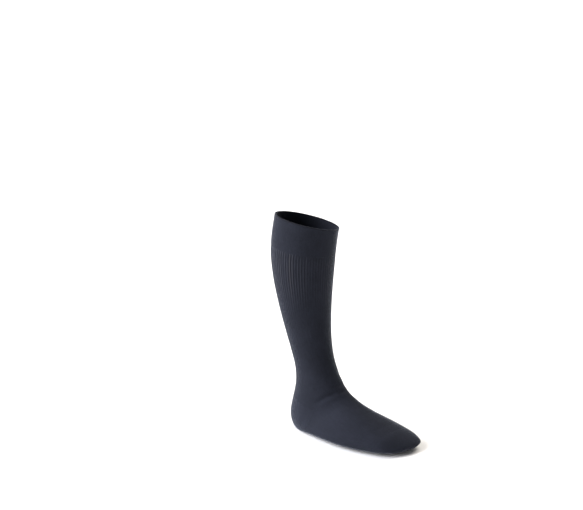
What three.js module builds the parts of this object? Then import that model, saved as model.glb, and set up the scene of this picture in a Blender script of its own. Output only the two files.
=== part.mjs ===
import * as THREE from 'three';

// A knee-high compression stocking for a right leg, in the hollow form that it takes when it is worn.
// Millimetres, +Z up, +X towards the toes, +Y towards the inner side.
// The origin is the middle of the rim. The form below is first laid out with its sole at z = 0.

// Cloth
const wall = 1.2; // one layer of the knitted cloth
const bandWall = 1.8; // the welt is turned in, so it is thicker
const seamGap = 0.3; // left between two pieces where they join

// Top band
const bandDepth = 55;
const rimRound = 2; // height over which the folded rim is rounded
const rimInset = 0.5; // how far the rounding draws the rim in

// Ribs of the leg, which run from the band to the heel
const ribCount = 72;
const ribHeight = 0.6; // at the calf
const ribHeightAtAnkle = 0.25;

// Heel pocket, in sections counted down from the rim and in shares of the way round
const heel = { top: 8.5, middle: 10.2, end: 12.1, reach: 20 / 72, tipTrim: 0.2 / 72 };

// Rows of faces down each piece, and columns of faces round the tube outside and inside
const facets = { round: 72, insideRound: 36, leg: 10, foot: 9, heel: 6, toe: 7 };

// Sections through a general adult leg and foot, from the rim down to the base of the toes.
// front and back: the ends of the section's middle line, at the shin or instep and at the calf or sole
// inner, outer: its half widths to the inner side and to the outer side
// seat: where it is widest, as a share of the middle line from the back
// square: the power of the back half's curve, 2 for an ellipse and more for a flatter sole
// lead: how far the inner side lies ahead of the outer side
// rise: how far the outer side lies above the inner side
const columns = ['frontX', 'frontZ', 'backX', 'backZ', 'inner', 'outer', 'seat', 'square', 'lead', 'rise'];
const sections = [
  [103, 372, -9, 390, 52, 52, 0.5, 2, 0, 16], // rim, below the knee
  [99, 350, -14, 364, 53, 54, 0.5, 2, 0, 10],
  [96, 319, -18, 332, 53, 55, 0.5, 2, 0, 3], // calf
  [93, 282, -15, 290, 51, 52, 0.5, 2, 0, 0],
  [91, 243, -7, 246, 45, 46, 0.5, 2, 0, 0],
  [91, 204, 4, 202, 39, 40, 0.5, 2, 0, 0], // foot of the calf
  [93, 168, 17, 160, 34, 35, 0.5, 2, 0, 0],
  [99, 136, 30, 118, 31, 31, 0.5, 2, 0, 0], // ankle
  [110, 109, 32, 84, 32, 33, 0.5, 2, 0, 0],
  [122, 91, 22, 50, 34, 35, 0.47, 2, 0, 0],
  [131, 82, 17, 15, 34, 35, 0.44, 2.2, 0, 0], // bend of the heel
  [141, 76, 34, -7, 34, 38, 0.4, 2.4, 0, 0],
  [152, 69, 61, -1, 35, 45, 0.36, 2.6, 0, 0], // arch
  [166, 62, 95, -1, 38, 51, 0.33, 2.7, 0, 0],
  [181, 55, 131, -1, 43, 53, 0.31, 2.8, 4, 0],
  [197, 48, 163, -1, 48, 52, 0.32, 2.8, 10, 0], // ball of the foot
  [212, 41, 190, -1, 49, 49, 0.36, 2.7, 15, 0],
  [226, 35, 211, -1, 46, 45, 0.42, 2.5, 18, 0], // base of the toes, where the toe cap begins
];

// Beyond the last section the toe carries on its taper and is rounded shut.
// sections: how many rows it takes; taper: how many sections' worth of taper it carries on;
// tipZ, inner, outer: height and half widths of the line where it closes;
// slant: how far the inner side leads, for each mm across; bow: how far the line's ends draw back
const toe = { sections: 3, taper: 2.2, tipZ: 11, inner: 27, outer: 25, slant: 0.44, bow: 8 };

const toeRow = sections.length - 1;
const lastRow = toeRow + toe.sections;

function named(values) {
  return Object.fromEntries(columns.map((column, k) => [column, values[k]]));
}

// A section of the toe: the taper, drawn in along a quarter of an ellipse to the closing line
function toeSection(row) {
  const angle = (Math.PI / 2) * ((row - toeRow) / toe.sections);
  const ahead = toe.taper * Math.sin(angle);
  const base = named(sections[toeRow]);
  const taper = named(sections[toeRow].map((value, k) => value + (value - sections[toeRow - 1][k]) * ahead));
  const tipX = (taper.frontX + taper.backX) / 2;
  const closed = [tipX, toe.tipZ, tipX, toe.tipZ, toe.inner, toe.outer, 0.5, 2, 0, 0];
  const section = named(closed.map((value, k) => THREE.MathUtils.lerp(value, taper[columns[k]], Math.cos(angle))));
  const slant = THREE.MathUtils.lerp(base.lead / (base.inner + base.outer), toe.slant, Math.sin(angle));
  section.lead = slant * (section.inner + section.outer);
  section.bow = toe.bow * Math.sin(angle) ** 2;
  return section;
}

// A section between the listed ones, by a uniform cubic B-spline whose ends are the first and the last
function sectionAt(row) {
  if (row > toeRow) {
    return toeSection(Math.min(row, lastRow));
  }
  const index = THREE.MathUtils.clamp(Math.floor(row), 0, toeRow - 1);
  const f = THREE.MathUtils.clamp(row, 0, toeRow) - index;
  const weights = [(1 - f) ** 3, 3 * f ** 3 - 6 * f ** 2 + 4, -3 * f ** 3 + 3 * f ** 2 + 3 * f + 1, f ** 3];
  const values = columns.map((_, column) => {
    const at = (k) => sections[k][column];
    const before = index > 0 ? at(index - 1) : 2 * at(0) - at(1);
    const after = index + 2 <= toeRow ? at(index + 2) : 2 * at(toeRow) - at(toeRow - 1);
    return [before, at(index), at(index + 1), after].reduce((sum, v, k) => sum + (v * weights[k]) / 6, 0);
  });
  return { ...named(values), bow: 0 };
}

// Half a section as a chain of points from front to back: two quarter curves that meet at the widest place
const curveSteps = 48;
function halfSection(section, outerSide) {
  const front = new THREE.Vector3(section.frontX, 0, section.frontZ);
  const back = new THREE.Vector3(section.backX, 0, section.backZ);
  const chord = front.clone().sub(back);
  const width = outerSide ? -section.outer : section.inner;
  const points = [];
  for (let step = 0; step <= 2 * curveSteps; step += 1) {
    const towardsFront = step <= curveSteps;
    const angle = (Math.PI / 2) * (towardsFront ? step / curveSteps : 2 - step / curveSteps);
    const power = towardsFront ? 1 : 2 / section.square;
    const reach = towardsFront ? 1 - section.seat : -section.seat;
    const along = section.seat + reach * Math.cos(angle) ** power;
    points.push(back.clone().addScaledVector(chord, along).setY(width * Math.sin(angle) ** power));
  }
  return points;
}

// A point of the cloth's face, evenly spaced round its section.
// row counts sections down from the rim; round is 0 at the front, 0.25 outside, 0.5 at the back.
function facePoint(row, round) {
  const section = sectionAt(row);
  const turn = THREE.MathUtils.euclideanModulo(round, 1);
  const outerSide = turn <= 0.5;
  const chain = halfSection(section, outerSide);
  const lengths = [0];
  for (let k = 1; k < chain.length; k += 1) {
    lengths.push(lengths[k - 1] + chain[k].distanceTo(chain[k - 1]));
  }
  const wanted = (outerSide ? 2 * turn : 2 - 2 * turn) * lengths[lengths.length - 1];
  const next = Math.max(1, lengths.findIndex((length) => length >= wanted - 1e-9));
  const share = (wanted - lengths[next - 1]) / (lengths[next] - lengths[next - 1]);
  const point = chain[next - 1].clone().lerp(chain[next], share);
  const across = point.y / (section.inner + section.outer);
  point.x += section.lead * across - section.bow * (2 * across) ** 2;
  point.z = Math.max(0, point.z - section.rise * across);
  return point;
}

// The cloth's direction outwards, across the lines that run down it and round it
const probe = 0.004;
function faceNormal(row, round) {
  const held = THREE.MathUtils.clamp(row, probe, lastRow - 2 * probe);
  const down = facePoint(held + probe, round).sub(facePoint(held - probe, round));
  const aside = facePoint(held, round + probe).sub(facePoint(held, round - probe));
  return aside.cross(down).normalize();
}

function offsetPoint(row, round, distance) {
  return facePoint(row, round).addScaledVector(faceNormal(row, round), distance);
}

// The row that lies a length further down the cloth, in mm
function rowBelow(row, round, length) {
  const span = facePoint(row + probe, round).distanceTo(facePoint(row - probe, round));
  return row + (2 * probe * length) / span;
}

// The row that lies a length below the rim, measured down the outer side
function rowUnderRim(length) {
  const step = 1;
  let row = 0;
  for (let done = 0; done < length; done += step) {
    const span = facePoint(row + 2 * probe, 0.25).distanceTo(facePoint(row, 0.25));
    row += (2 * probe * step) / span;
  }
  return row;
}

// The heel pocket's upper and lower edges bow away from its middle and meet it at the two tips
function heelEdge(edgeRow, round) {
  const aside = Math.min(1, Math.abs(round - 0.5) / heel.reach);
  return heel.middle + (edgeRow - heel.middle) * (1 - aside ** 2);
}

// Ribs: a groove, then two high points, round and round, lower towards the ankle
const pointsInRib = 3;
function ribOffset(down, column) {
  const height = THREE.MathUtils.lerp(ribHeight, ribHeightAtAnkle, down);
  return column % pointsInRib === 0 ? 0 : height;
}

function evenShares(count) {
  return Array.from({ length: count + 1 }, (_, index) => index / count);
}

// A wall of cloth between an outer and an inner face, closed along its edges.
// Each face is a grid of points: downs are shares of the way down, rounds are shares of the way round.
// A tube's last column is its first one again; a tip has its last row folded shut, so it needs no edge.
function wallGeometry({ downs, outerRounds, innerRounds, outerPoint, innerPoint, tube, tip }) {
  const positions = [];
  const indices = [];
  const addGrid = (rounds, pointAt) => {
    const start = positions.length / 3;
    const count = tube ? rounds.length - 1 : rounds.length;
    const points = downs.map((down) => rounds.slice(0, count).map((round, k) => pointAt(down, round, k)));
    if (tip) {
      const fold = points[points.length - 1];
      const folded = fold.map((point, k) => {
        const partner = fold[(count + count / 2 - k) % count];
        return point.clone().add(partner).multiplyScalar(0.5);
      });
      points[points.length - 1] = folded;
    }
    points.flat().forEach((point) => positions.push(point.x, point.y, point.z));
    return (row, column) => start + row * count + (tube ? column % count : column);
  };
  const outer = addGrid(outerRounds, outerPoint);
  const inner = addGrid(innerRounds, innerPoint);
  const addQuad = (a, b, c, d) => indices.push(a, b, c, a, c, d);
  const addFace = (at, columnCount, outward) => {
    for (let row = 0; row + 1 < downs.length; row += 1) {
      for (let column = 0; column < columnCount; column += 1) {
        const quad = [at(row, column), at(row, column + 1), at(row + 1, column + 1), at(row + 1, column)];
        addQuad(...(outward ? quad : quad.reverse()));
      }
    }
  };
  addFace(outer, outerRounds.length - 1, true);
  addFace(inner, innerRounds.length - 1, false);

  // The edges that run round join several outer columns to one inner column
  const ratio = (outerRounds.length - 1) / (innerRounds.length - 1);
  const half = Math.ceil(ratio / 2);
  const addRoundEdge = (row, facesUp) => {
    const addTriangle = (a, b, c) => indices.push(...(facesUp ? [c, b, a] : [a, b, c]));
    for (let column = 0; column + 1 < innerRounds.length; column += 1) {
      const first = column * ratio;
      for (let k = 0; k < ratio; k += 1) {
        const pivot = inner(row, k < half ? column : column + 1);
        addTriangle(pivot, outer(row, first + k), outer(row, first + k + 1));
      }
      addTriangle(inner(row, column), outer(row, first + half), inner(row, column + 1));
    }
  };
  addRoundEdge(0, true);
  if (!tip) {
    addRoundEdge(downs.length - 1, false);
  }
  if (!tube) {
    const outerEnd = outerRounds.length - 1;
    const innerEnd = innerRounds.length - 1;
    for (let row = 0; row + 1 < downs.length; row += 1) {
      addQuad(inner(row, 0), outer(row, 0), outer(row + 1, 0), inner(row + 1, 0));
      addQuad(outer(row, outerEnd), inner(row, innerEnd), inner(row + 1, innerEnd), outer(row + 1, outerEnd));
    }
  }
  const geometry = new THREE.BufferGeometry();
  geometry.setAttribute('position', new THREE.Float32BufferAttribute(positions, 3));
  geometry.setIndex(indices);
  geometry.computeVertexNormals();
  return geometry;
}

// A piece of cloth between two edges, each given as a row for every place round
function clothPiece({ topEdge, endEdge, downs, outerRounds, innerRounds, proud, inside, tube, tip }) {
  const rowAt = (down, round) => {
    const top = rowBelow(topEdge(round), round, topEdge(round) > 0 ? seamGap / 2 : 0);
    const end = tip ? lastRow : rowBelow(endEdge(round), round, -seamGap / 2);
    return THREE.MathUtils.lerp(top, end, down);
  };
  return wallGeometry({
    downs,
    outerRounds,
    innerRounds,
    outerPoint: (down, round, column) => offsetPoint(rowAt(down, round), round, proud(down, column)),
    innerPoint: (down, round) => offsetPoint(rowAt(down, round), round, -inside),
    tube,
    tip,
  });
}

const knit = new THREE.MeshStandardMaterial({ color: 0x262932, roughness: 0.9, metalness: 0 });
const knitHeel = new THREE.MeshStandardMaterial({ color: 0x282b35, roughness: 0.92, metalness: 0 });
const stocking = new THREE.Group();

function addPiece(name, geometry, material) {
  const mesh = new THREE.Mesh(geometry, material);
  mesh.name = name;
  stocking.add(mesh);
}

const bandRow = rowUnderRim(bandDepth);
const rounds = evenShares(facets.round);
const insideRounds = evenShares(facets.insideRound);
const flush = () => 0;

// Top band: plain, with its folded rim drawn in a little
function topBand() {
  return clothPiece({
    topEdge: () => 0,
    endEdge: () => bandRow,
    downs: [0, rimRound / bandDepth, 0.35, 0.67, 1],
    outerRounds: rounds,
    innerRounds: insideRounds,
    proud: (down) => (down === 0 ? -rimInset : (bandWall - wall) / 2),
    inside: (bandWall + wall) / 2,
    tube: true,
  });
}

// Leg: ribbed outside, plain inside, with a bay in its lower edge for the heel
function leg() {
  return clothPiece({
    topEdge: () => bandRow,
    endEdge: (round) => heelEdge(heel.top, round),
    downs: evenShares(facets.leg),
    outerRounds: evenShares(ribCount * pointsInRib),
    innerRounds: insideRounds,
    proud: ribOffset,
    inside: wall,
    tube: true,
  });
}

// Heel pocket: from tip to tip round the back of the bend
function heelPocket() {
  const first = 0.5 - heel.reach;
  const last = 0.5 + heel.reach;
  const between = rounds.filter((round) => round > first + heel.tipTrim && round < last - heel.tipTrim);
  const heelRounds = [first + heel.tipTrim, ...between, last - heel.tipTrim];
  return clothPiece({
    topEdge: (round) => heelEdge(heel.top, round),
    endEdge: (round) => heelEdge(heel.end, round),
    downs: evenShares(facets.heel),
    outerRounds: heelRounds,
    innerRounds: heelRounds.filter((_, index) => index % (facets.round / facets.insideRound) === 0),
    proud: flush,
    inside: wall,
    tube: false,
  });
}

// Foot: instep and sole, with a bay in its upper edge for the heel
function foot() {
  return clothPiece({
    topEdge: (round) => heelEdge(heel.end, round),
    endEdge: () => toeRow,
    downs: evenShares(facets.foot),
    outerRounds: rounds,
    innerRounds: insideRounds,
    proud: flush,
    inside: wall,
    tube: true,
  });
}

// Toe cap: closed along a level line, where its upper and lower layers are linked
function toeCap() {
  return clothPiece({
    topEdge: () => toeRow,
    downs: evenShares(facets.toe),
    outerRounds: rounds,
    innerRounds: insideRounds,
    proud: flush,
    inside: wall,
    tube: true,
    tip: true,
  });
}

addPiece('top_band', topBand(), knit);
addPiece('leg', leg(), knit);
addPiece('heel_pocket', heelPocket(), knitHeel);
addPiece('foot', foot(), knit);
addPiece('toe_cap', toeCap(), knitHeel);

// The origin moves from the floor under the heel to the middle of the rim
const rim = sectionAt(0);
stocking.position.set(-(rim.frontX + rim.backX) / 2, 0, -(rim.frontZ + rim.backZ) / 2);

export default stocking;
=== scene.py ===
import math

import bmesh
import bpy
import numpy as np
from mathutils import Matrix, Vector


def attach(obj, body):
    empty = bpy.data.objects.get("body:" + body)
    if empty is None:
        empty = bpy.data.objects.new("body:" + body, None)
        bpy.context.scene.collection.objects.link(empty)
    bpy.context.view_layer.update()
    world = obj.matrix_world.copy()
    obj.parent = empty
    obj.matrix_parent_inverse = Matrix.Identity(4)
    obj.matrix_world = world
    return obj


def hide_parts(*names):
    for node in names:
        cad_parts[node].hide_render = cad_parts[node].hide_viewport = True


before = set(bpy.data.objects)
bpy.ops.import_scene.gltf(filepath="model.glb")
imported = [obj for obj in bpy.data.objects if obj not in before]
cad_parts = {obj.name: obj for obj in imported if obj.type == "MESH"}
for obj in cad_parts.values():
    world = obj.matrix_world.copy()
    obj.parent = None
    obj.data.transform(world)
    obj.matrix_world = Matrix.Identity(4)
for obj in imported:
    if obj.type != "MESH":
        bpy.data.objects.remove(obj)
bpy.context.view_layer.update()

# The knitted stocking in its worn form. The form is worked out in millimetres with the sole at z = 0,
# +Z up, +X towards the toes and +Y towards the inner side, and moved to the part's origin at the end.

# The camera comes first
photoView = {
    "aim": (-0.0316, 0, -0.0667),  # what lies in the middle of the frame
    "azimuth": 33.15,  # degrees round from straight across the leg
    "elevation": 16.03,
    "distance": 1.8,
    "lens": 63.94,  # mm, on a sensor 36 mm wide
}


def direction(azimuth, elevation):
    # A vector one long, turned round from -Y and tilted up, both in degrees
    turn = math.radians(azimuth)
    tilt = math.radians(elevation)
    return Vector((math.sin(turn) * math.cos(tilt), -math.cos(turn) * math.cos(tilt), math.sin(tilt)))


def addCamera(view):
    back = direction(view["azimuth"], view["elevation"])
    data = bpy.data.cameras.new("camera")
    data.sensor_width = 36
    data.sensor_fit = "HORIZONTAL"
    data.lens = view["lens"]
    data.clip_start = 0.05
    camera = bpy.data.objects.new("camera", data)
    bpy.context.scene.collection.objects.link(camera)
    camera.location = Vector(view["aim"]) + back * view["distance"]
    camera.rotation_euler = back.to_track_quat("Z", "Y").to_euler()
    bpy.context.scene.camera = camera


addCamera(photoView)
print("stage: camera")


# Sections from the rim to the base of the toes. Each row gives the front and back ends of the middle line
# (x, z, x, z), the half widths to the inner side and to the outer side, where it is widest as a share from
# the back, the power of the back half's curve, and how far the inner side leads the outer one and lies
# below it.
sections = np.array([
    [103, 372, -9, 390, 52, 52, 0.50, 2.0, 0, 16],  # rim
    [99, 350, -14, 364, 53, 54, 0.50, 2.0, 0, 10],
    [96, 319, -18, 332, 53, 55, 0.50, 2.0, 0, 3],  # calf
    [93, 282, -15, 290, 51, 52, 0.50, 2.0, 0, 0],
    [91, 243, -7, 246, 45, 46, 0.50, 2.0, 0, 0],
    [91, 204, 4, 202, 39, 40, 0.50, 2.0, 0, 0],
    [93, 168, 17, 160, 34, 35, 0.50, 2.0, 0, 0],
    [99, 136, 30, 118, 31, 31, 0.50, 2.0, 0, 0],  # ankle
    [110, 109, 32, 84, 32, 33, 0.50, 2.0, 0, 0],
    [122, 91, 22, 50, 34, 35, 0.47, 2.0, 0, 0],
    [131, 82, 17, 15, 34, 35, 0.44, 2.2, 0, 0],  # bend of the heel
    [141, 76, 34, -7, 34, 38, 0.40, 2.4, 0, 0],
    [152, 69, 61, -1, 35, 45, 0.36, 2.6, 0, 0],  # arch
    [166, 62, 95, -1, 38, 51, 0.33, 2.7, 0, 0],
    [181, 55, 131, -1, 43, 53, 0.31, 2.8, 4, 0],
    [197, 48, 163, -1, 48, 52, 0.32, 2.8, 10, 0],  # ball of the foot
    [212, 41, 190, -1, 49, 49, 0.36, 2.7, 15, 0],
    [226, 35, 211, -1, 46, 45, 0.42, 2.5, 18, 0],  # base of the toes
])

form = {
    "origin": (47, 0, 381),  # middle of the rim
    "toeRows": 3,
    "toeTaper": 2.2,  # sections' worth of taper that the toe carries on
    "tipHeight": 11,
    "tipInner": 27,
    "tipOuter": 25,
    "tipSlant": 0.44,
    "tipBow": 8,
    "chainSteps": 48,  # straight steps in each quarter of a section
    "rowStep": 0.05,  # of the table that the pieces read
    "turnCount": 720,
}
toeRow = len(sections) - 1
lastRow = toeRow + form["toeRows"]


def sectionsAt(rows):
    # A uniform cubic B-spline over the table that meets its first and last rows. Past the last one the
    # taper is carried on and drawn in along a quarter of an ellipse to the closing line.
    padded = np.vstack([2 * sections[0] - sections[1], sections, 2 * sections[-1] - sections[-2]])
    held = np.clip(rows, 0, toeRow)
    index = np.minimum(held.astype(int), toeRow - 1)
    f = (held - index)[:, None]
    weights = ((1 - f) ** 3, 3 * f ** 3 - 6 * f ** 2 + 4, -3 * f ** 3 + 3 * f ** 2 + 3 * f + 1, f ** 3)
    body = sum(weight * padded[index + k] for k, weight in enumerate(weights)) / 6
    angle = np.clip((rows - toeRow) / form["toeRows"], 0, 1)[:, None] * np.pi / 2
    taper = sections[-1] + (sections[-1] - sections[-2]) * form["toeTaper"] * np.sin(angle)
    closed = taper.copy()
    closed[:, 0] = closed[:, 2] = (taper[:, 0] + taper[:, 2]) / 2
    closed[:, 1] = closed[:, 3] = form["tipHeight"]
    closed[:, 4] = form["tipInner"]
    closed[:, 5] = form["tipOuter"]
    closed[:, 6:8] = (0.5, 2)
    toe = closed + (taper - closed) * np.cos(angle)
    baseSlant = sections[-1][8] / (sections[-1][4] + sections[-1][5])
    slant = baseSlant + (form["tipSlant"] - baseSlant) * np.sin(angle[:, 0])
    toe[:, 8] = slant * (toe[:, 4] + toe[:, 5])
    found = np.where(angle > 0, toe, body)
    bow = form["tipBow"] * np.sin(angle) ** 2
    return np.hstack([found, bow])


def pick(array, index):
    return np.take_along_axis(array, index, axis=1)


def halfSections(values, side):
    # Points at even lengths along one half of each section, from front to back. The half is two quarter
    # curves that meet where the section is widest.
    frontX, frontZ, backX, backZ, inner, outer, seat, square = values[:, :8].T[:, :, None]
    quarter = np.linspace(0, 1, form["chainSteps"] + 1) * np.pi / 2
    width = inner if side > 0 else outer
    along = np.hstack([seat + (1 - seat) * np.cos(quarter),
                       seat - seat * np.cos(quarter[-2::-1]) ** (2 / square)])
    aside = np.hstack([np.sin(quarter) + 0 * seat, np.sin(quarter[-2::-1]) ** (2 / square)])
    chain = np.stack([backX + (frontX - backX) * along, side * width * aside,
                      backZ + (frontZ - backZ) * along], axis=-1)
    steps = np.linalg.norm(np.diff(chain, axis=1), axis=2)
    lengths = np.hstack([np.zeros((len(values), 1)), np.cumsum(steps, axis=1)])
    wanted = np.linspace(0, 1, form["turnCount"] // 2 + 1) * lengths[:, -1:]
    shorter = lengths[:, None, :] < wanted[:, :, None] - 1e-9
    following = np.clip(shorter.sum(axis=2), 1, lengths.shape[1] - 1)
    before = pick(lengths, following - 1)
    share = (wanted - before) / (pick(lengths, following) - before)
    start = pick(chain, (following - 1)[:, :, None])
    return start + (pick(chain, following[:, :, None]) - start) * share[:, :, None]


def formTable():
    # The cloth's face on a grid of rows down it and turns round it, with its outward direction and the
    # length down from the rim. A turn is 0 at the front, 0.25 outside and 0.5 at the back.
    rows = np.linspace(0, lastRow, round(lastRow / form["rowStep"]) + 1)
    values = sectionsAt(rows)
    outside = halfSections(values, -1)
    inside = halfSections(values, 1)
    points = np.concatenate([outside, inside[:, -2:0:-1]], axis=1)
    inner, outer, lead, rise, bow = (values[:, k, None] for k in (4, 5, 8, 9, 10))
    across = points[:, :, 1] / (inner + outer)
    points[:, :, 0] += lead * across - bow * (2 * across) ** 2
    points[:, :, 2] = np.maximum(0, points[:, :, 2] - rise * across)
    down = np.gradient(points, axis=0)
    aside = np.roll(points, -1, axis=1) - np.roll(points, 1, axis=1)
    outward = np.cross(aside, down)
    outward /= np.maximum(np.linalg.norm(outward, axis=2, keepdims=True), 1e-9)
    steps = np.linalg.norm(np.diff(points, axis=0), axis=2, keepdims=True)
    lengths = np.concatenate([np.zeros_like(points[:1, :, :1]), np.cumsum(steps, axis=0)])
    return np.concatenate([points, outward, lengths], axis=2)


table = formTable()
print("stage: form")


def readTable(rows, turns):
    # Straight interpolation between the table's four nearest points
    down = np.clip(rows / form["rowStep"], 0, len(table) - 1.001)
    aside = np.mod(turns, 1) * form["turnCount"]
    row = down.astype(int)
    column = np.floor(aside).astype(int) % form["turnCount"]
    following = (column + 1) % form["turnCount"]
    f = (down - row)[..., None]
    g = (aside - np.floor(aside))[..., None]
    upper = table[row, column] * (1 - g) + table[row, following] * g
    lower = table[row + 1, column] * (1 - g) + table[row + 1, following] * g
    return upper * (1 - f) + lower * f


def rowUnderRim(length):
    # The row that lies a length below the rim on the outer side
    quarter = form["turnCount"] // 4
    return float(np.interp(length, table[:, quarter, 6], np.arange(len(table)) * form["rowStep"]))


heel = {
    "top": 8.5,  # rows of the pocket's edges at the back, and of its two tips
    "middle": 10.2,
    "end": 12.1,
    "reach": 20 / 72,  # turns from the back to a tip
    "plainRound": 0.01,  # mm by which the edges are rounded away from the two lines of joined stitches
    "seamRound": 0.14,  # and how much more along the lines
    "seamEnd": 0.9,  # share of the reach at which the lines end
    "seamFade": 0.25,
}


def heelEdge(edgeRow, turns):
    # The heel pocket's edges bow away from its middle and meet it at the two tips
    aside = np.minimum(1, np.abs(np.mod(turns, 1) - 0.5) / heel["reach"])
    return heel["middle"] + (edgeRow - heel["middle"]) * (1 - aside ** 2)


# The cloth's own relief: ribs on the leg and a few soft folds
ribs = {
    "count": 72,
    "heights": ((1.85, 0), (2.0, 0.6), (3.4, 0.5), (5, 0.28), (6.5, 0.2), (8, 0.14), (9.6, 0.06), (10.2, 0)),
    "groove": 2.6,  # higher makes the grooves narrower
    "frontShare": 0.55,  # of the calf's height, on the shin
    "calfEdge": 0.37,  # turns from the back at which the calf's full height begins to build up
    "calfBlend": 0.08,
}

# Soft folds: the row and turn of the middle, how far it runs round and down, how much it slants, and its
# depth in mm
folds = [
    {"row": 9.5, "turn": 0.15, "reach": 0.035, "width": 0.22, "slant": 1.5, "depth": 1.1},
    {"row": 9.33, "turn": 0.085, "reach": 0.07, "width": 0.26, "slant": 0.5, "depth": 1.6},
    {"row": 9.62, "turn": 0.012, "reach": 0.035, "width": 0.22, "slant": 0, "depth": 1.1},
    {"row": 8.75, "turn": 0.03, "reach": 0.05, "width": 0.24, "slant": -0.5, "depth": 1.5},
    {"row": 7.5, "turn": 0.05, "reach": 0.08, "width": 0.3, "slant": 1.2, "depth": 0.4},
    {"row": 8.1, "turn": -0.08, "reach": 0.1, "width": 0.2, "slant": -1.5, "depth": 0.35},
    {"row": 9.0, "turn": -0.08, "reach": 0.1, "width": 0.2, "slant": 1.1, "depth": 0.35},
    {"row": 7.1, "turn": 0.47, "reach": 0.12, "width": 0.25, "slant": 0.9, "depth": 0.3},
    {"row": 7.8, "turn": 0.54, "reach": 0.1, "width": 0.22, "slant": -1.1, "depth": 0.3},
    {"row": 15.9, "turn": 0.03, "reach": 0.13, "width": 0.3, "slant": -1.4, "depth": 0.3},
]
foldLips = {"height": 0.25, "away": 2, "width": 1.2}  # shares of the fold's own depth and width


def ribRelief(rows, turns):
    # Rounded ribs: half a sine wave for each, raised to a power below one so that the tops are broad and
    # the grooves narrow
    steps, heights = zip(*ribs["heights"])
    wave = np.abs(np.sin(np.pi * ribs["count"] * turns)) ** (1 / ribs["groove"])
    calf = np.clip((ribs["calfEdge"] - np.abs(np.mod(turns, 1) - 0.5)) / ribs["calfBlend"], 0, 1)
    share = ribs["frontShare"] + (1 - ribs["frontShare"]) * calf
    return np.interp(rows, steps, heights) * share * wave


def foldRelief(rows, turns):
    # Troughs that are bell curves across and along, on lines that slant as they go round, each between two
    # low lips that are bell curves too
    total = np.zeros_like(rows)
    for fold in folds:
        aside = np.mod(turns - fold["turn"] + 0.5, 1) - 0.5
        off = (rows - fold["row"] - fold["slant"] * aside) / fold["width"]
        along = np.exp(-(aside / fold["reach"]) ** 2)
        lips = foldLips["height"] * np.exp(-((np.abs(off) - foldLips["away"]) / foldLips["width"]) ** 2)
        total += fold["depth"] * along * (lips - np.exp(-off ** 2))
    return total


wales = 360  # columns of stitches round the leg
course = 0.72  # mm of the cloth that a row of stitches takes
mergeDistance = 1e-6  # m
sliverLength = 1e-7


def addPiece(name, points, uv, tube, ring, tip=False):
    # A grid of points as a closed shell. Rows go round the wall's cut edge, and columns go round the leg.
    # ring: the rows close on themselves; tube: the columns do; tip: the first and last rows are folded shut
    rowCount, columnCount = points.shape[:2]
    points = points.copy()
    if tip:
        partner = (columnCount // 2 - np.arange(columnCount)) % columnCount
        for end in (0, -1):
            points[end] = (points[end] + points[end][partner]) / 2
    rowA = np.arange(rowCount if ring else rowCount - 1)
    columnA = np.arange(columnCount if tube else columnCount - 1)
    i, j = np.meshgrid(rowA, columnA, indexing="ij")
    nextRow, nextColumn = (i + 1) % rowCount, (j + 1) % columnCount
    corners = [(i, j), (i, nextColumn), (nextRow, nextColumn), (nextRow, j)]
    faces = np.stack([a * columnCount + b for a, b in corners], axis=-1).reshape(-1)
    uvCorners = np.stack([uv[a, b] for a, b in ((i, j), (i, j + 1), (nextRow, j + 1), (nextRow, j))], axis=-2)
    mesh = bpy.data.meshes.new(name)
    mesh.vertices.add(rowCount * columnCount)
    place = (points - np.array(form["origin"])) / 1000
    mesh.vertices.foreach_set("co", place.astype(np.float32).reshape(-1))
    mesh.loops.add(len(faces))
    mesh.loops.foreach_set("vertex_index", faces.astype(np.int32))
    mesh.polygons.add(len(faces) // 4)
    mesh.polygons.foreach_set("loop_start", np.arange(0, len(faces), 4, dtype=np.int32))
    mesh.uv_layers.new(name="stitches").data.foreach_set("uv", uvCorners.astype(np.float32).reshape(-1))
    mesh.update(calc_edges=True)
    # What is folded shut or drawn to a point becomes one again
    shell = bmesh.new()
    shell.from_mesh(mesh)
    bmesh.ops.remove_doubles(shell, verts=shell.verts, dist=mergeDistance)
    bmesh.ops.dissolve_degenerate(shell, edges=shell.edges, dist=sliverLength)
    shell.to_mesh(mesh)
    shell.free()
    mesh.polygons.foreach_set("use_smooth", np.ones(len(mesh.polygons), dtype=bool))
    piece = bpy.data.objects.new(name, mesh)
    bpy.context.scene.collection.objects.link(piece)
    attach(piece, "root")
    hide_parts(name)
    print("made", name, len(mesh.polygons), "faces")
    return piece


besideEdge = 0.12  # mm between a rounded edge and the row that keeps the shading level beside it
tipSpan = 6  # mm from edge to edge, below which the edges' rounding and the heel pocket's wall get smaller


def wallLoop(rowCount, backCount, edgeSteps):
    # The wall's cut edge as a closed loop: down the outer face, round the lower edge, up the inner face and
    # round the upper edge. It gives the share of the way down, the shares of the upper and the lower edge's
    # rounding that a point is drawn back by, the little that the row beside each edge stays off it, and the
    # side, from 1 outside to -1 inside.
    turn = np.linspace(0, np.pi, edgeSteps + 2)[1:-1]
    inset = 1 - np.sin(turn)
    none = np.zeros(edgeSteps)
    down = np.concatenate([[0], np.linspace(0, 1, rowCount), [1]])
    up = np.concatenate([[1], np.linspace(1, 0, backCount), [0]])
    share = np.concatenate([down, none + 1, up, none])
    side = np.concatenate([0 * down + 1, np.cos(turn), 0 * up - 1, -np.cos(turn)])
    fromTop = np.concatenate([1 - down, none, 1 - up, inset])
    fromEnd = np.concatenate([down, inset, up, none])
    beside = np.zeros(len(share))
    upStart = len(down) + edgeSteps
    beside[[1, upStart + len(up) - 2]] = besideEdge
    beside[[len(down) - 2, upStart + 1]] = -besideEdge
    return share, fromTop, fromEnd, beside, side


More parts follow.
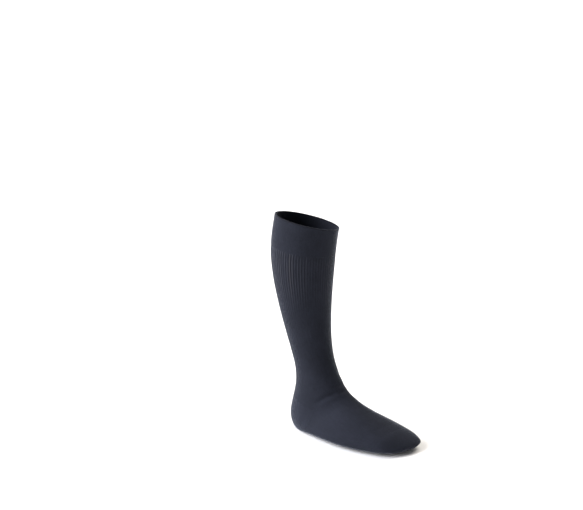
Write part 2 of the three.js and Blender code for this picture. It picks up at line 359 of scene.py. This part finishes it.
def clothShell(name, piece, topEdge, endEdge, relief, tube=True):
    # A wall between two edges. Each point is the cloth's face plus its outward direction times an offset:
    # half the wall's thickness to either side, the relief of the face, and the soft folds.
    share, fromTop, fromEnd, beside, side = wallLoop(piece["rows"], piece["backRows"], piece["edgeSteps"])
    turns = np.linspace(piece["from"], piece["to"], piece["columns"] + 1) + 0 * share[:, None]
    top, end = topEdge(turns), endEdge(turns)
    span = readTable(end, turns)[..., 6] - readTable(top, turns)[..., 6]
    perMillimetre = (end - top) / np.maximum(span, 1e-6)
    narrowing = np.minimum(1, span / tipSpan)
    drawnBack = fromTop[:, None] * piece["topRound"](turns) - fromEnd[:, None] * piece["endRound"](turns)
    rows = top + (end - top) * share[:, None] + (drawnBack + beside[:, None]) * perMillimetre * narrowing
    found = readTable(rows, turns)
    middle = (piece["outside"] - piece["inside"]) / 2
    half = (piece["outside"] + piece["inside"]) / 2
    offset = middle + half * side[:, None] * (1 if tube else narrowing)
    offset = offset + np.clip(side, 0, 1)[:, None] * relief(rows, turns) + foldRelief(rows, turns)
    points = found[..., :3] + found[..., 3:6] * offset[..., None]
    uv = np.stack([wales * turns, found[..., 6] / course], axis=-1)
    count = piece["columns"] if tube else piece["columns"] + 1
    return addPiece(name, points[:, :count], uv, tube, ring=True)


def allRound(value):
    # An edge or a rounding that is the same all the way round
    return lambda turns: np.full_like(turns, float(value))


def smooth(rows, turns):
    # No relief
    return np.zeros_like(rows)


def goreRound(turns):
    # The pieces' edges are rounded along the heel's two lines of joined stitches, and butt elsewhere
    aside = np.abs(np.mod(turns, 1) - 0.5) / heel["reach"]
    along = np.clip((heel["seamEnd"] - aside) / heel["seamFade"], 0, 1)
    return heel["plainRound"] + heel["seamRound"] * along


topBand = {
    "from": 0, "to": 1, "columns": 360, "rows": 60, "backRows": 16,
    "edgeSteps": 7, "outside": 0.3, "inside": 1.5, "topRound": allRound(0.9), "endRound": allRound(0.5),
    "depth": 55,
    "seamDepth": 0.35, "seamWidth": 0.8,  # the line of stitches that holds the turned edge
    "seamAbove": 2.2,  # mm above its end
    "rimSwell": 0.35, "rimWidth": 2.5,
    "ridgeHeight": 0.05, "ridges": 180,
}
bandRow = rowUnderRim(topBand["depth"])


def bandRelief(rows, turns):
    # A bell-shaped trough along the sewn line, a soft swell at the fold and very faint upright ridges
    under = readTable(rows, turns)[..., 6]
    depth = readTable(np.full_like(rows, bandRow), turns)[..., 6]
    offSeam = (depth - topBand["seamAbove"] - under) / topBand["seamWidth"]
    trough = -topBand["seamDepth"] * np.exp(-offSeam ** 2)
    swell = topBand["rimSwell"] * np.exp(-(under / topBand["rimWidth"]) ** 2)
    return trough + swell + topBand["ridgeHeight"] * np.cos(2 * np.pi * topBand["ridges"] * turns)


bandPiece = clothShell("top_band", topBand, allRound(0), allRound(bandRow), bandRelief)

leg = {
    "from": 0, "to": 1, "columns": 576, "rows": 120, "backRows": 40,
    "edgeSteps": 3, "outside": 0, "inside": 1.2, "topRound": allRound(0.05), "endRound": goreRound,
    "underBand": 0.04,  # rows by which its top runs up inside the band
}
legPiece = clothShell("leg", leg, allRound(bandRow - leg["underBand"]),
                      lambda turns: heelEdge(heel["top"], turns), ribRelief)

heelPocket = {
    "from": 0.5 - heel["reach"], "to": 0.5 + heel["reach"], "columns": 180, "rows": 60, "backRows": 30,
    "edgeSteps": 3, "outside": 0.1, "inside": 1.2, "topRound": goreRound, "endRound": goreRound,
}
heelPiece = clothShell("heel_pocket", heelPocket, lambda turns: heelEdge(heel["top"], turns),
                       lambda turns: heelEdge(heel["end"], turns), smooth, tube=False)

foot = {
    "from": 0, "to": 1, "columns": 576, "rows": 100, "backRows": 30,
    "edgeSteps": 3, "outside": 0, "inside": 1.2, "topRound": goreRound, "endRound": allRound(0.02),
}
footPiece = clothShell("foot", foot, lambda turns: heelEdge(heel["end"], turns), allRound(toeRow), smooth)

toeCap = {
    "columns": 576, "rows": 90, "backRows": 30, "inside": 1.2,
    "ridge": 0.6, "ridgeWidth": 1.1, "loops": 96, "loopShare": 0.3,
    "troughShare": 0.6, "troughBehind": 3, "troughWidth": 1.2,
    "besideEdge": 0.01,  # rows between the cut edge and the row that keeps the shading level there
}


def toeShell():
    # The outer and the inner face are folded shut at the closing line and joined round the cap's edge.
    # The linked seam is a raised line of loops there, with a narrow trough behind it.
    turns = np.linspace(0, 1, toeCap["columns"] + 1)
    beside = toeRow + toeCap["besideEdge"]
    outerRows = np.append(np.linspace(lastRow, beside, toeCap["rows"] - 1), toeRow)
    innerRows = np.append(toeRow, np.linspace(beside, lastRow, toeCap["backRows"] - 1))
    rows = np.concatenate([outerRows, innerRows])[:, None] + 0 * turns[None, :]
    outer = np.concatenate([np.ones(toeCap["rows"]), np.zeros(toeCap["backRows"])])[:, None]
    found = readTable(rows, turns[None, :] + 0 * rows)
    lengths = found[..., 6]
    short = readTable(np.full_like(rows, lastRow), turns[None, :] + 0 * rows)[..., 6] - lengths
    loops = 1 + toeCap["loopShare"] * np.cos(2 * np.pi * toeCap["loops"] * turns)
    ridge = loops * np.exp(-(short / toeCap["ridgeWidth"]) ** 2)
    trough = toeCap["troughShare"] * np.exp(-((short - toeCap["troughBehind"]) / toeCap["troughWidth"]) ** 2)
    offset = outer * toeCap["ridge"] * (ridge - trough) - (1 - outer) * toeCap["inside"]
    points = found[..., :3] + found[..., 3:6] * offset[..., None]
    points = points[::-1]
    uv = np.stack([wales * turns[None, :] + 0 * rows, lengths / course], axis=-1)[::-1]
    return addPiece("toe_cap", points[:, :-1], uv, tube=True, ring=False, tip=True)


toePiece = toeShell()
print("stage: pieces")


def newGroup(name, inputs, outputs):
    group = bpy.data.node_groups.new(name, "ShaderNodeTree")
    for sockets, way in ((inputs, "INPUT"), (outputs, "OUTPUT")):
        for label, socketType, value in sockets:
            socket = group.interface.new_socket(label, in_out=way, socket_type=socketType)
            if value is not None:
                socket.default_value = value
    return group, group.nodes.new("NodeGroupInput"), group.nodes.new("NodeGroupOutput")


def feed(tree, socket, value):
    # A number is set on the socket, and another node's output is linked to it
    if isinstance(value, (int, float)):
        socket.default_value = value
    elif value is not None:
        tree.links.new(value, socket)


def mathNode(tree, operation, first, second=None, third=None):
    node = tree.nodes.new("ShaderNodeMath")
    node.operation = operation
    for socket, value in zip(node.inputs, (first, second, third)):
        feed(tree, socket, value)
    return node.outputs[0]


def rangeNode(tree, value, start, end):
    # 0 where the value is at the start, 1 where it is at the end, and level beyond both
    node = tree.nodes.new("ShaderNodeMapRange")
    feed(tree, node.inputs["Value"], value)
    feed(tree, node.inputs["From Min"], start)
    feed(tree, node.inputs["From Max"], end)
    return node


def splitNode(tree, vector):
    node = tree.nodes.new("ShaderNodeSeparateXYZ")
    tree.links.new(vector, node.inputs[0])
    return node.outputs


def groupNode(tree, group):
    node = tree.nodes.new("ShaderNodeGroup")
    node.node_tree = group
    return node


def noiseNode(tree, vector, scale, detail=3, roughness=0.55):
    node = tree.nodes.new("ShaderNodeTexNoise")
    node.inputs["Scale"].default_value = scale
    node.inputs["Detail"].default_value = detail
    node.inputs["Roughness"].default_value = roughness
    tree.links.new(vector, node.inputs["Vector"])
    return node.outputs["Fac"]


def mappingNode(tree, vector, scale):
    node = tree.nodes.new("ShaderNodeMapping")
    node.inputs["Scale"].default_value = scale
    tree.links.new(vector, node.inputs["Vector"])
    return node.outputs["Vector"]


def stitchGroup():
    # Plain knit seen from its face: each stitch is two legs that lean together into a V. The UV map counts
    # stitches, wales along U and courses along V. A leg's height is half a sine along it times a parabola
    # across it.
    group, given, out = newGroup(
        "knit_stitches",
        [("Stitch Map", "NodeSocketVector", None), ("Lean", "NodeSocketFloat", 0.9)],
        [("Height", "NodeSocketFloat", None), ("Gap", "NodeSocketFloat", None)],
    )
    stitch = splitNode(group, given.outputs["Stitch Map"])
    across = mathNode(group, "SUBTRACT", mathNode(group, "FRACT", stitch["X"]), 0.5)
    away = mathNode(group, "ABSOLUTE", across)
    leaning = mathNode(group, "MULTIPLY", away, given.outputs["Lean"])
    along = mathNode(group, "FRACT", mathNode(group, "ADD", stitch["Y"], leaning))
    yarnAlong = mathNode(group, "SINE", mathNode(group, "MULTIPLY", along, math.pi))
    offLeg = mathNode(group, "SUBTRACT", mathNode(group, "MULTIPLY", away, 4), 1)
    yarnAcross = mathNode(group, "SUBTRACT", 1, mathNode(group, "MULTIPLY", offLeg, offLeg))
    product = mathNode(group, "MAXIMUM", mathNode(group, "MULTIPLY", yarnAlong, yarnAcross), 0)
    height = mathNode(group, "SQRT", product)
    group.links.new(height, out.inputs["Height"])
    group.links.new(mathNode(group, "SUBTRACT", 1, height), out.inputs["Gap"])
    return group


unevenYarn = {
    "cloudScale": 22,
    "fleckScale": 620,
    "napScale": 1500,
    "streakScale": (0.9, 0.035, 1),  # of the stitch map, so that the streaks follow the wales
    "footLightTop": -0.27,  # z, in m from the rim's middle, where the foot's painted light begins
    "footLightFull": -0.34,  # and where it is at full strength
}


def heatherGroup():
    # Uneven dye and yarn: broad clouds, streaks that follow the wales, fine flecks, and painted light that
    # makes the foot a little lighter
    group, given, out = newGroup(
        "uneven_yarn",
        [("Place", "NodeSocketVector", None), ("Stitch Map", "NodeSocketVector", None),
         ("Clouds", "NodeSocketFloat", 0.3), ("Streaks", "NodeSocketFloat", 0.3),
         ("Flecks", "NodeSocketFloat", 0.3), ("Lightened", "NodeSocketFloat", 0.1)],
        [("Tone", "NodeSocketFloat", None), ("Nap", "NodeSocketFloat", None)],
    )
    place = given.outputs["Place"]
    clouds = noiseNode(group, place, unevenYarn["cloudScale"], 3)
    flecks = noiseNode(group, place, unevenYarn["fleckScale"], 2, 0.7)
    alongWales = mappingNode(group, given.outputs["Stitch Map"], unevenYarn["streakScale"])
    streaks = noiseNode(group, alongWales, 1, 2)
    total = 0.5
    for noise, amount in ((clouds, "Clouds"), (streaks, "Streaks"), (flecks, "Flecks")):
        off = mathNode(group, "SUBTRACT", noise, 0.5)
        total = mathNode(group, "MULTIPLY_ADD", off, given.outputs[amount], total)
    # Painted light: the tone is lifted below a height on the leg, so the foot comes out lighter
    low = rangeNode(group, splitNode(group, place)["Z"], unevenYarn["footLightTop"], unevenYarn["footLightFull"])
    low.interpolation_type = "SMOOTHSTEP"
    total = mathNode(group, "MULTIPLY_ADD", low.outputs["Result"], given.outputs["Lightened"], total)
    group.links.new(total, out.inputs["Tone"])
    group.links.new(noiseNode(group, place, unevenYarn["napScale"], 3, 0.75), out.inputs["Nap"])
    return group


ribLook = {
    "sharpness": 3,  # power of the wave, higher for thinner lines
    "level": 0.36,  # taken off, so that the tops get painted highlights and the gaps painted shade
    "pickScale": 0.83,  # of the noise that picks which ribs get more painted light
    "driftScale": 0.012,  # of the courses in that noise, so that a rib changes slowly on its way down
    "contrast": 5,
    "offset": -1.5,
    "least": 0.3,
    "brightestExtra": 1.8,
}


def ribLightGroup():
    # Painted highlights on the tops of the ribs and painted shade between them, as a power of the size of a
    # sine. They fade down the leg and towards the shin, some ribs get more than others, and one gets the
    # most.
    group, given, out = newGroup(
        "rib_painted_light",
        [("Stitch Map", "NodeSocketVector", None), ("Wales", "NodeSocketFloat", wales / ribs["count"]),
         ("Top", "NodeSocketFloat", 70), ("Full", "NodeSocketFloat", 80),
         ("Fading", "NodeSocketFloat", 110), ("Gone", "NodeSocketFloat", 215),
         ("Brightest Rib", "NodeSocketFloat", 16.5), ("Front", "NodeSocketFloat", 0.25)],
        [("Line", "NodeSocketFloat", None)],
    )
    stitch = splitNode(group, given.outputs["Stitch Map"])
    phase = mathNode(group, "DIVIDE", stitch["X"], given.outputs["Wales"])
    wave = mathNode(group, "ABSOLUTE", mathNode(group, "SINE", mathNode(group, "MULTIPLY", phase, math.pi)))
    sharp = mathNode(group, "POWER", wave, ribLook["sharpness"])
    crest = mathNode(group, "SUBTRACT", sharp, ribLook["level"])
    oneRib = group.nodes.new("ShaderNodeCombineXYZ")
    group.links.new(mathNode(group, "FLOOR", phase), oneRib.inputs["X"])
    group.links.new(mathNode(group, "MULTIPLY", stitch["Y"], ribLook["driftScale"]), oneRib.inputs["Y"])
    uneven = noiseNode(group, oneRib.outputs[0], ribLook["pickScale"], 1)
    strength = mathNode(group, "MULTIPLY_ADD", uneven, ribLook["contrast"], ribLook["offset"])
    strength = mathNode(group, "MAXIMUM", strength, ribLook["least"])
    # One rib gets a stronger painted highlight and painted shade than the rest
    offBrightest = mathNode(group, "ABSOLUTE", mathNode(group, "SUBTRACT", phase, given.outputs["Brightest Rib"]))
    onBrightest = mathNode(group, "LESS_THAN", offBrightest, 0.5)
    strength = mathNode(group, "MULTIPLY_ADD", onBrightest, ribLook["brightestExtra"], strength)
    aside = mathNode(group, "ABSOLUTE", mathNode(group, "SUBTRACT", phase, ribs["count"] / 2))
    calf = rangeNode(group, aside, ribs["count"] * ribs["calfEdge"],
                     ribs["count"] * (ribs["calfEdge"] - ribs["calfBlend"]))
    group.links.new(given.outputs["Front"], calf.inputs["To Min"])
    line = mathNode(group, "MULTIPLY", crest, mathNode(group, "MULTIPLY", strength, calf.outputs["Result"]))
    for start, end in (("Top", "Full"), ("Gone", "Fading")):
        fade = rangeNode(group, stitch["Y"], given.outputs[start], given.outputs[end])
        line = mathNode(group, "MULTIPLY", line, fade.outputs["Result"])
    group.links.new(line, out.inputs["Line"])
    return group


stitches = stitchGroup()
heather = heatherGroup()
ribPaintedLight = ribLightGroup()


def addSheen(shader, look):
    shader.inputs["Specular IOR Level"].default_value = look["specular"]
    shader.inputs["Sheen Weight"].default_value = look["sheen"]
    shader.inputs["Sheen Roughness"].default_value = look["sheenRoughness"]
    shader.inputs["Sheen Tint"].default_value = look["sheenTint"]


def knitTone(tree, look, stitchMap, stitch, yarn, line):
    # The yarn's tone, with painted shade in the gaps between stitches and in the rim's fold, and painted
    # highlights on the ribs' lines
    tone = mathNode(tree, "MULTIPLY_ADD", stitch.outputs["Gap"], -look["gapShade"], yarn.outputs["Tone"])
    if line is not None:
        tone = mathNode(tree, "MULTIPLY_ADD", line, look["ribLightStrength"], tone)
    if look["edgeShade"]:
        near = rangeNode(tree, splitNode(tree, stitchMap)["Y"], look["edgeCourses"], look["edgeFull"])
        tone = mathNode(tree, "MULTIPLY_ADD", near.outputs["Result"], -look["edgeShade"], tone)
    return tone


def knitColour(tree, look, tone, line):
    ramp = tree.nodes.new("ShaderNodeValToRGB")
    ends = zip(ramp.color_ramp.elements, look["toneRange"], (look["dark"], look["light"]))
    for element, position, colour in ends:
        element.position = position
        element.color = (*colour, 1)
    tree.links.new(tone, ramp.inputs[0])
    if line is None:
        return ramp.outputs[0]
    # The painted highlights on the ribs are also a little warmer than the rest
    warm = tree.nodes.new("ShaderNodeMix")
    warm.data_type = "RGBA"
    lit = mathNode(tree, "MULTIPLY", mathNode(tree, "MAXIMUM", line, 0), look["warmth"])
    tree.links.new(mathNode(tree, "MINIMUM", lit, 1), warm.inputs["Factor"])
    tree.links.new(ramp.outputs[0], warm.inputs["A"])
    warm.inputs["B"].default_value = (*look["warmTone"], 1)
    return warm.outputs["Result"]


def addKnit(name, look):
    material = bpy.data.materials.new(name)
    material.use_nodes = True
    tree = material.node_tree
    tree.nodes.clear()
    output = tree.nodes.new("ShaderNodeOutputMaterial")
    shader = tree.nodes.new("ShaderNodeBsdfPrincipled")
    tree.links.new(shader.outputs[0], output.inputs["Surface"])
    addSheen(shader, look)
    uvMap = tree.nodes.new("ShaderNodeUVMap")
    uvMap.uv_map = "stitches"
    stitchMap = uvMap.outputs["UV"]
    stitch = groupNode(tree, stitches)
    stitch.inputs["Lean"].default_value = look["lean"]
    tree.links.new(stitchMap, stitch.inputs["Stitch Map"])
    yarn = groupNode(tree, heather)
    tree.links.new(tree.nodes.new("ShaderNodeTexCoord").outputs["Object"], yarn.inputs["Place"])
    tree.links.new(stitchMap, yarn.inputs["Stitch Map"])
    for label in ("Clouds", "Streaks", "Flecks", "Lightened"):
        yarn.inputs[label].default_value = look[label.lower()]
    line = None
    if look["ribLightStrength"]:
        lines = groupNode(tree, ribPaintedLight)
        tree.links.new(stitchMap, lines.inputs["Stitch Map"])
        line = lines.outputs["Line"]
    tone = knitTone(tree, look, stitchMap, stitch, yarn, line)
    tree.links.new(knitColour(tree, look, tone, line), shader.inputs["Base Color"])
    smoothest = look["roughness"] - look["roughnessSpread"] / 2
    rough = mathNode(tree, "MULTIPLY_ADD", yarn.outputs["Nap"], look["roughnessSpread"], smoothest)
    tree.links.new(rough, shader.inputs["Roughness"])
    relief = mathNode(tree, "MULTIPLY_ADD", yarn.outputs["Nap"], look["nap"], stitch.outputs["Height"])
    bump = tree.nodes.new("ShaderNodeBump")
    bump.inputs["Strength"].default_value = look["bump"]
    bump.inputs["Distance"].default_value = look["bumpDistance"]
    tree.links.new(relief, bump.inputs["Height"])
    tree.links.new(bump.outputs[0], shader.inputs["Normal"])
    return material


cloth = {
    "dark": (0.0086, 0.0098, 0.0144),
    "light": (0.0228, 0.0258, 0.0382),
    "toneRange": (0.2, 0.8),  # the tones that get the dark and the light colour
    "roughness": 0.88,
    "roughnessSpread": 0.2,
    "specular": 0.1,
    "sheen": 0.47,
    "sheenRoughness": 0.25,
    "sheenTint": (0.8, 0.87, 1, 1),
    "lean": 0.9,
    "clouds": 0.3,
    "streaks": 0.4,
    "flecks": 0.55,
    # Painted light that makes the foot lighter
    "lightened": 0.1,
    # Painted shade in the gaps between stitches
    "gapShade": 0.25,
    "nap": 0.5,
    "bump": 0.5,
    "bumpDistance": 0.00022,
    "edgeShade": 0,
    "ribLightStrength": 0,
}
weltLook = {
    **cloth,
    "streaks": 0.25,
    "bumpDistance": 0.00015,
    # Painted shade along the rim's fold
    "edgeShade": 0.35,
    "edgeCourses": 3.5,  # courses from the rim where its painted shade begins
    "edgeFull": 1,
}
ribbedLook = {
    **cloth,
    # Painted highlights on the ribs' tops and painted shade between them
    "ribLightStrength": 0.6,
    "warmth": 0.45,
    "warmTone": (0.038, 0.036, 0.038),
}
weltKnit = addKnit("welt_knit", weltLook)
ribbedKnit = addKnit("ribbed_knit", ribbedLook)
plainKnit = addKnit("plain_knit", cloth)
# The heel and toe get more of the foot's painted light
denseKnit = addKnit("dense_knit", {**cloth, "bumpDistance": 0.0003, "lightened": 0.17})

finishes = [
    (bandPiece, weltKnit, "welt_knit"),
    (legPiece, ribbedKnit, "ribbed_knit"),
    (heelPiece, denseKnit, "dense_knit"),
    (footPiece, plainKnit, "plain_knit"),
    (toePiece, denseKnit, "dense_knit"),
]
for piece, material, slot in finishes:
    piece.data.materials.append(material)
print("stage: cloth")


studio = {
    "floorHeight": -0.3813,  # just under the sole
    "floorReach": 30,
    "floorColour": (0.93, 0.93, 0.93, 1),
    "floorRoughness": 0.9,
    "worldStrength": 0.25,
    "worldColour": (1, 0.99, 0.98, 1),
    "backdropColour": (0.98, 0.98, 0.98, 1),  # what the camera sees past the floor
    # azimuth and elevation, strength, degrees across, which softens the shadows, and colour
    "key": (-54, 27, 7.1, 55, (0.95, 0.95, 1)),
    "behind": (180, 50, 2.7, 50, (1, 0.95, 0.87)),
}


def addFloor():
    mesh = bpy.data.meshes.new("floor")
    reach, height = studio["floorReach"], studio["floorHeight"]
    corners = [(x * reach, y * reach, height) for x, y in ((-1, -1), (1, -1), (1, 1), (-1, 1))]
    mesh.from_pydata(corners, [], [(0, 1, 2, 3)])
    material = bpy.data.materials.new("floor")
    material.use_nodes = True
    shader = material.node_tree.nodes["Principled BSDF"]
    shader.inputs["Base Color"].default_value = studio["floorColour"]
    shader.inputs["Roughness"].default_value = studio["floorRoughness"]
    mesh.materials.append(material)
    floor = bpy.data.objects.new("floor", mesh)
    bpy.context.scene.collection.objects.link(floor)


def addSun(name, setting):
    azimuth, elevation, strength, across, colour = setting
    data = bpy.data.lights.new(name, "SUN")
    data.energy = strength
    data.angle = math.radians(across)
    data.color = colour
    light = bpy.data.objects.new(name, data)
    bpy.context.scene.collection.objects.link(light)
    light.rotation_euler = direction(azimuth, elevation).to_track_quat("Z", "Y").to_euler()


def addWorld():
    # Soft light from all round, and a near-white backdrop where the camera sees past the floor
    world = bpy.data.worlds.new("studio")
    world.use_nodes = True
    tree = world.node_tree
    lighting = tree.nodes["Background"]
    lighting.inputs["Color"].default_value = studio["worldColour"]
    lighting.inputs["Strength"].default_value = studio["worldStrength"]
    seen = tree.nodes.new("ShaderNodeBackground")
    seen.inputs["Color"].default_value = studio["backdropColour"]
    lightPath = tree.nodes.new("ShaderNodeLightPath")
    either = tree.nodes.new("ShaderNodeMixShader")
    tree.links.new(lightPath.outputs["Is Camera Ray"], either.inputs[0])
    tree.links.new(lighting.outputs[0], either.inputs[1])
    tree.links.new(seen.outputs[0], either.inputs[2])
    tree.links.new(either.outputs[0], tree.nodes["World Output"].inputs["Surface"])
    bpy.context.scene.world = world


addFloor()
addWorld()
addSun("key", studio["key"])
addSun("behind", studio["behind"])
bpy.context.scene.view_settings.view_transform = "Standard"
print("stage: studio")
